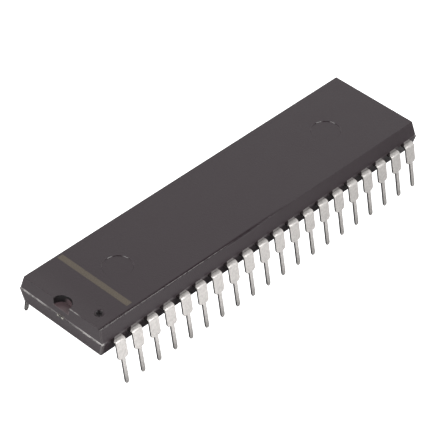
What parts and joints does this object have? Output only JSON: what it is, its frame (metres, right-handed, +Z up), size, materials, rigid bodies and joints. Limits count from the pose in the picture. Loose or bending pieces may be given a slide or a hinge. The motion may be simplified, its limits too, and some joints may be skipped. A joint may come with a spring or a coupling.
{
  "type": "dual in-line integrated circuit",
  "caption": "Plastic dual in-line integrated circuit: a long notched epoxy body around a lead frame, die and gold bond wires, with a row of bent, tinned leads along each side.",
  "frame": {"origin": "middle of the plane of the lead tips, under the centre of the body", "axes": "+X along the body, away from the notched end; +Y towards the far row of leads, away from lead 1; +Z up, from the lead tips to the top of the body"},
  "size_m": [0.0526, 0.0172, 0.0078],
  "materials": {
    "epoxy": "fine matt moulded",
    "tinned_lead": "matt tin plating on an iron-nickel strip",
    "lead_frame": "bare rolled strip",
    "die_attach": "silver-filled epoxy",
    "silicon": "polished silicon",
    "gold_wire": "drawn gold"
  },
  "bodies": {
    "root": {"body": "epoxy", "lead_01": "tinned_lead", "lead_02": "tinned_lead", "lead_03": "tinned_lead", "lead_04": "tinned_lead", "lead_05": "tinned_lead", "lead_06": "tinned_lead", "lead_07": "tinned_lead", "lead_08": "tinned_lead", "lead_09": "tinned_lead", "lead_10": "tinned_lead", "lead_11": "tinned_lead", "lead_12": "tinned_lead", "lead_13": "tinned_lead", "lead_14": "tinned_lead", "lead_15": "tinned_lead", "lead_16": "tinned_lead", "lead_17": "tinned_lead", "lead_18": "tinned_lead", "lead_19": "tinned_lead", "lead_20": "tinned_lead", "lead_21": "tinned_lead", "lead_22": "tinned_lead", "lead_23": "tinned_lead", "lead_24": "tinned_lead", "lead_25": "tinned_lead", "lead_26": "tinned_lead", "lead_27": "tinned_lead", "lead_28": "tinned_lead", "lead_29": "tinned_lead", "lead_30": "tinned_lead", "lead_31": "tinned_lead", "lead_32": "tinned_lead", "lead_33": "tinned_lead", "lead_34": "tinned_lead", "lead_35": "tinned_lead", "lead_36": "tinned_lead", "lead_37": "tinned_lead", "lead_38": "tinned_lead", "lead_39": "tinned_lead", "lead_40": "tinned_lead", "die_paddle": "lead_frame", "die_attach": "die_attach", "die": "silicon", "bond_wires_near": "gold_wire", "bond_wires_far": "gold_wire", "bond_wires_notch_end": "gold_wire", "bond_wires_plain_end": "gold_wire"}
  },
  "joints": []
}
